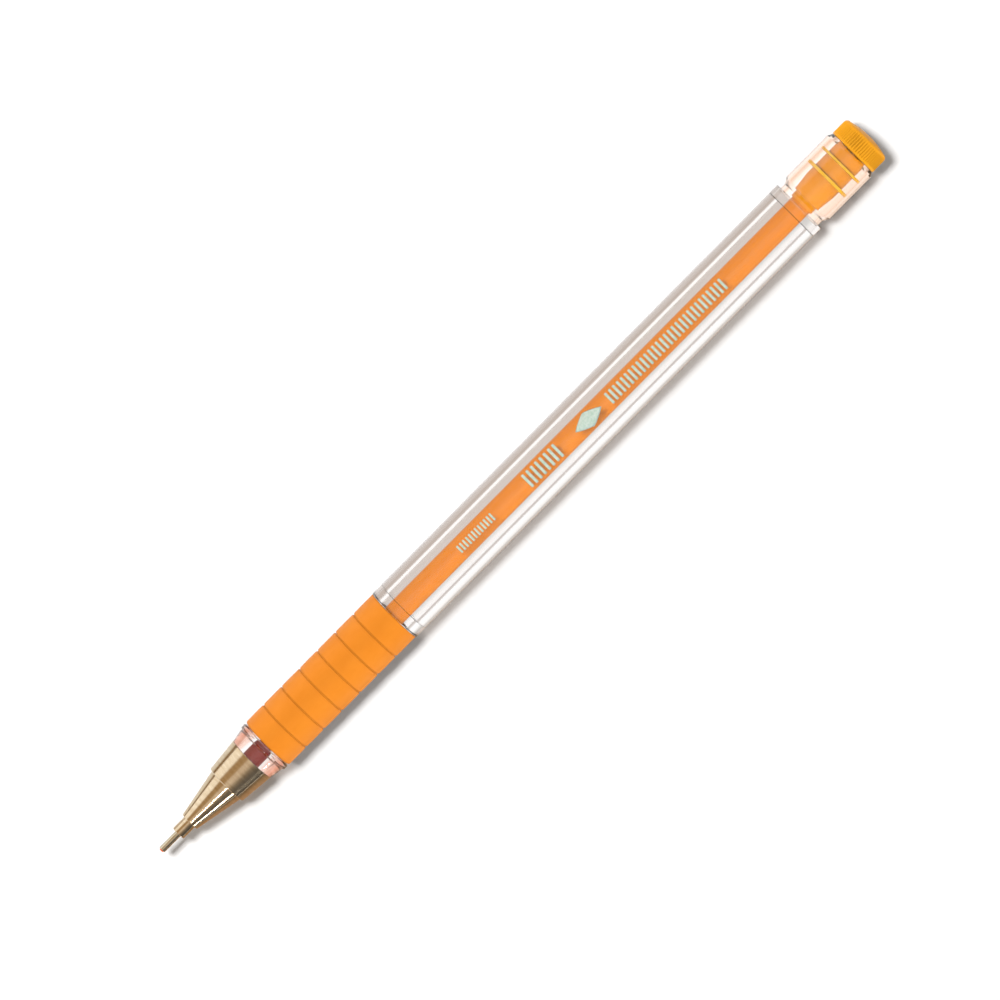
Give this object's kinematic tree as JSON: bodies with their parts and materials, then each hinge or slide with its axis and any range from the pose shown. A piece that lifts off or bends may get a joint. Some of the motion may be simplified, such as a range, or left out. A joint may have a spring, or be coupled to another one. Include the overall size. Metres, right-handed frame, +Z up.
{
  "type": "mechanical pencil",
  "caption": "Push-button mechanical pencil with a clear round barrel, grooved rubber grip, stepped metal nose cone, thin lead pipe and knurled crown.",
  "frame": {"origin": "on the surface that the pencil lies on, under the middle of its length and width", "axes": "the pencil lies along X with its tip towards -X and its crown towards +X, +Z up"},
  "size_m": [0.149, 0.009, 0.0089],
  "materials": {
    "clear_plastic": "clear moulded plastic, polished",
    "grip_rubber": "soft orange moulded rubber, satin",
    "plated_metal": "turned and plated, pale champagne, polished",
    "pipe_metal": "drawn thin pipe, satin",
    "turned_brass": "turned, bright",
    "spring_steel": "drawn wire",
    "seal_rubber": "black moulded rubber",
    "dark_red_plastic": "dark red moulded plastic",
    "orange_plastic": "orange moulded plastic, semi-gloss",
    "eraser_rubber": "white eraser, matte",
    "orange_lead": "orange coloured lead, matte"
  },
  "bodies": {
    "barrel_unit": {"barrel": "clear_plastic", "grip": "grip_rubber", "clutch_sleeve": "turned_brass", "chuck_spring": "spring_steel"},
    "push_unit": {"chuck": "turned_brass", "connector": "dark_red_plastic", "lead_tube": "orange_plastic", "tube_socket": "orange_plastic", "button_sleeve": "clear_plastic"},
    "clutch_ring_unit": {"clutch_ring": "turned_brass"},
    "lead_unit": {"lead": "orange_lead"},
    "retainer_unit": {"lead_retainer": "seal_rubber"},
    "nose_unit": {"nose_cone": "plated_metal", "tip_bush": "plated_metal", "lead_sleeve": "pipe_metal"},
    "crown_unit": {"crown": "orange_plastic"},
    "eraser_unit": {"eraser": "eraser_rubber"},
    "spare_unit_1": {"spare_lead_1": "orange_lead"},
    "spare_unit_2": {"spare_lead_2": "orange_lead"},
    "spare_unit_3": {"spare_lead_3": "orange_lead"}
  },
  "joints": [
    {"name": "button_press", "type": "slide", "parent": "barrel_unit", "child": "push_unit", "axis": [-1, 0, 0], "range_m": [0, 0.0012], "stiffness_N_per_m": 300, "springref_m": -0.006, "deforming": ["chuck_spring"]},
    {"name": "ring_travel", "type": "slide", "parent": "barrel_unit", "child": "clutch_ring_unit", "axis": [-1, 0, 0], "range_m": [0, 0.0006]},
    {"name": "lead_advance", "type": "slide", "parent": "barrel_unit", "child": "lead_unit", "axis": [-1, 0, 0], "range_m": [0, 0.0006]},
    {"name": "nose_travel", "type": "slide", "parent": "barrel_unit", "child": "retainer_unit", "axis": [-1, 0, 0], "range_m": [0, 0.0042]},
    {"name": "nose_unscrew", "type": "hinge", "parent": "retainer_unit", "child": "nose_unit", "pos_m": [-0.06, 0, 0.00446], "axis": [-1, 0, 0], "range_deg": [0, 1890.1]},
    {"name": "crown_pull", "type": "slide", "parent": "push_unit", "child": "crown_unit", "axis": [1, 0, 0], "range_m": [0, 0.012]},
    {"name": "eraser_pull", "type": "slide", "parent": "push_unit", "child": "eraser_unit", "axis": [1, 0, 0], "range_m": [0, 0.0042]},
    {"name": "spare_slide_1", "type": "slide", "parent": "push_unit", "child": "spare_unit_1", "axis": [1, 0, 0], "range_m": [0, 0.05]},
    {"name": "spare_slide_2", "type": "slide", "parent": "push_unit", "child": "spare_unit_2", "axis": [1, 0, 0], "range_m": [0, 0.05]},
    {"name": "spare_slide_3", "type": "slide", "parent": "push_unit", "child": "spare_unit_3", "axis": [1, 0, 0], "range_m": [0, 0.05]}
  ],
  "couplings": [
    {"joint": "ring_travel", "follows": "button_press", "ratio": 0.5},
    {"joint": "lead_advance", "follows": "button_press", "ratio": 0.5},
    {"joint": "nose_unscrew", "follows": "nose_travel", "rad_per_m": 7854},
    {"joint": "eraser_pull", "follows": "crown_pull", "ratio": 0.35}
  ]
}
